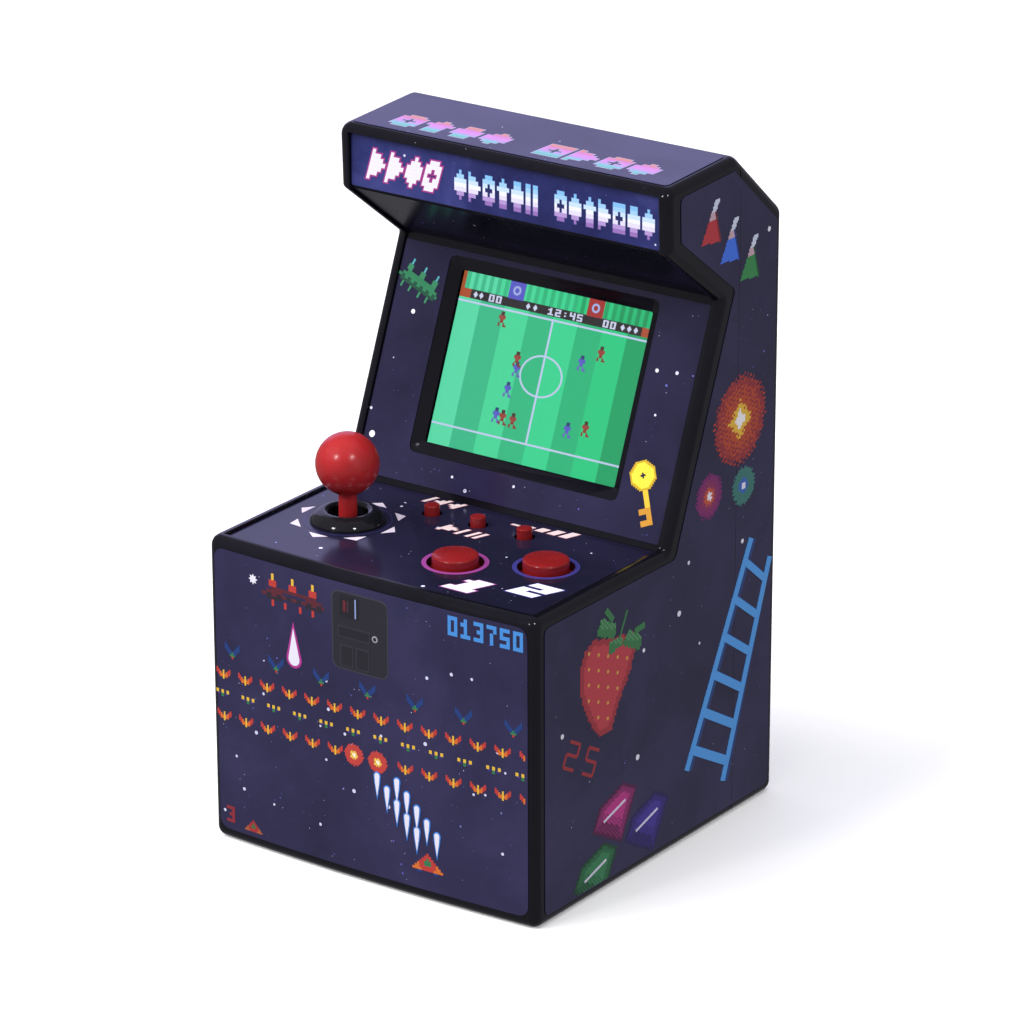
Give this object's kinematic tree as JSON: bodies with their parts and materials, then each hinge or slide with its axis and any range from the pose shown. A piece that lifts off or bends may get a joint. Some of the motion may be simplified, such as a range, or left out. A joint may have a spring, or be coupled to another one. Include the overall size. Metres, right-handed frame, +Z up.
{
  "type": "bartop arcade cabinet",
  "caption": "Miniature bartop arcade cabinet with a colour screen under a hood, a ball-top joystick, round push buttons on the deck and a battery bay behind.",
  "frame": {"origin": "middle of the footprint, on the surface that the cabinet stands on", "axes": "+Z up along the cabinet's height, -Y towards the player, +X to the player's right"},
  "size_m": [0.0908, 0.0988, 0.1601],
  "materials": {
    "casing": "glossy moulded ABS",
    "printed_film": "printed gloss film",
    "window": "clear",
    "screen": "lit picture",
    "circuit_board": "solder mask",
    "chip_epoxy": "potted",
    "ribbon": "polyimide",
    "red_plastic": "semi gloss",
    "glossy_black": "high gloss",
    "inner_plastic": "plain",
    "dome_rubber": "silicone",
    "cell_sleeve": "sleeved cell",
    "bright_steel": "plated",
    "cone_paper": "pulp"
  },
  "bodies": {
    "cabinet": {"front_shell": "casing", "rear_shell": "casing", "front_graphic": "printed_film", "deck_graphic": "printed_film", "bezel_graphic": "printed_film", "hood_graphic": "printed_film", "marquee_graphic": "printed_film", "top_graphic": "printed_film", "right_side_graphic": "printed_film", "left_side_graphic": "printed_film", "screen_window": "window", "lcd_panel": "screen", "lcd_backlight": "bright_steel", "main_board": "circuit_board", "control_board": "circuit_board", "joystick_board": "circuit_board", "game_chip": "chip_epoxy", "screen_ribbon": "ribbon", "joystick_dust_ring": "glossy_black", "joystick_housing": "inner_plastic", "joystick_switch_right": "inner_plastic", "joystick_switch_left": "inner_plastic", "joystick_switch_back": "inner_plastic", "joystick_switch_front": "inner_plastic", "reset_switch": "inner_plastic", "start_switch": "inner_plastic", "volume_switch": "inner_plastic", "button_a_dome": "dome_rubber", "button_b_dome": "dome_rubber", "battery_cell_1": "cell_sleeve", "battery_cell_2": "cell_sleeve", "battery_cell_3": "cell_sleeve", "battery_spring_1": "bright_steel", "battery_spring_2": "bright_steel", "battery_spring_3": "bright_steel", "battery_contact_plus": "bright_steel", "battery_contact_link_right": "bright_steel", "battery_contact_link_left": "bright_steel", "battery_contact_minus": "bright_steel", "case_screw_1": "bright_steel", "case_screw_2": "bright_steel", "case_screw_3": "bright_steel", "case_screw_4": "bright_steel", "power_switch_body": "bright_steel", "speaker_frame": "bright_steel", "speaker_cone": "cone_paper", "speaker_magnet": "bright_steel"},
    "joystick_gimbal": {"joystick_yoke": "inner_plastic"},
    "joystick": {"joystick_ball": "red_plastic", "joystick_shaft": "red_plastic"},
    "button_a": {"button_a": "red_plastic"},
    "button_b": {"button_b": "red_plastic"},
    "reset_button": {"reset_button": "red_plastic"},
    "start_button": {"start_button": "red_plastic"},
    "volume_button": {"volume_button": "red_plastic"},
    "power_switch": {"power_switch_slider": "inner_plastic"},
    "battery_door": {"battery_door": "casing", "battery_door_screw": "bright_steel"}
  },
  "joints": [
    {"name": "joystick_sideways", "type": "hinge", "parent": "cabinet", "child": "joystick_gimbal", "pos_m": [-0.026, -0.02055, 0.0685], "axis": [0, 1, 0], "range_deg": [-10, 10], "stiffness_Nm_per_rad": 0.02},
    {"name": "joystick_fore_aft", "type": "hinge", "parent": "joystick_gimbal", "child": "joystick", "pos_m": [-0.026, -0.02055, 0.0685], "axis": [1, 0, 0], "range_deg": [-10, 10], "stiffness_Nm_per_rad": 0.02},
    {"name": "button_a_press", "type": "slide", "parent": "cabinet", "child": "button_a", "axis": [0, 0, -1], "range_m": [0, 0.0013], "stiffness_N_per_m": 250, "deforming": ["button_a_dome"]},
    {"name": "button_b_press", "type": "slide", "parent": "cabinet", "child": "button_b", "axis": [0, 0, -1], "range_m": [0, 0.0013], "stiffness_N_per_m": 250, "deforming": ["button_b_dome"]},
    {"name": "reset_press", "type": "slide", "parent": "cabinet", "child": "reset_button", "axis": [0, 0, -1], "range_m": [0, 0.0008], "stiffness_N_per_m": 200},
    {"name": "start_press", "type": "slide", "parent": "cabinet", "child": "start_button", "axis": [0, 0, -1], "range_m": [0, 0.0008], "stiffness_N_per_m": 200},
    {"name": "volume_press", "type": "slide", "parent": "cabinet", "child": "volume_button", "axis": [0, 0, -1], "range_m": [0, 0.0008], "stiffness_N_per_m": 200},
    {"name": "power_switch_slide", "type": "slide", "parent": "cabinet", "child": "power_switch", "axis": [1, 0, 0], "range_m": [0, 0.003]},
    {"name": "battery_door_removal", "type": "slide", "parent": "cabinet", "child": "battery_door", "axis": [0, 1, 0], "range_m": [0, 0.03]}
  ]
}
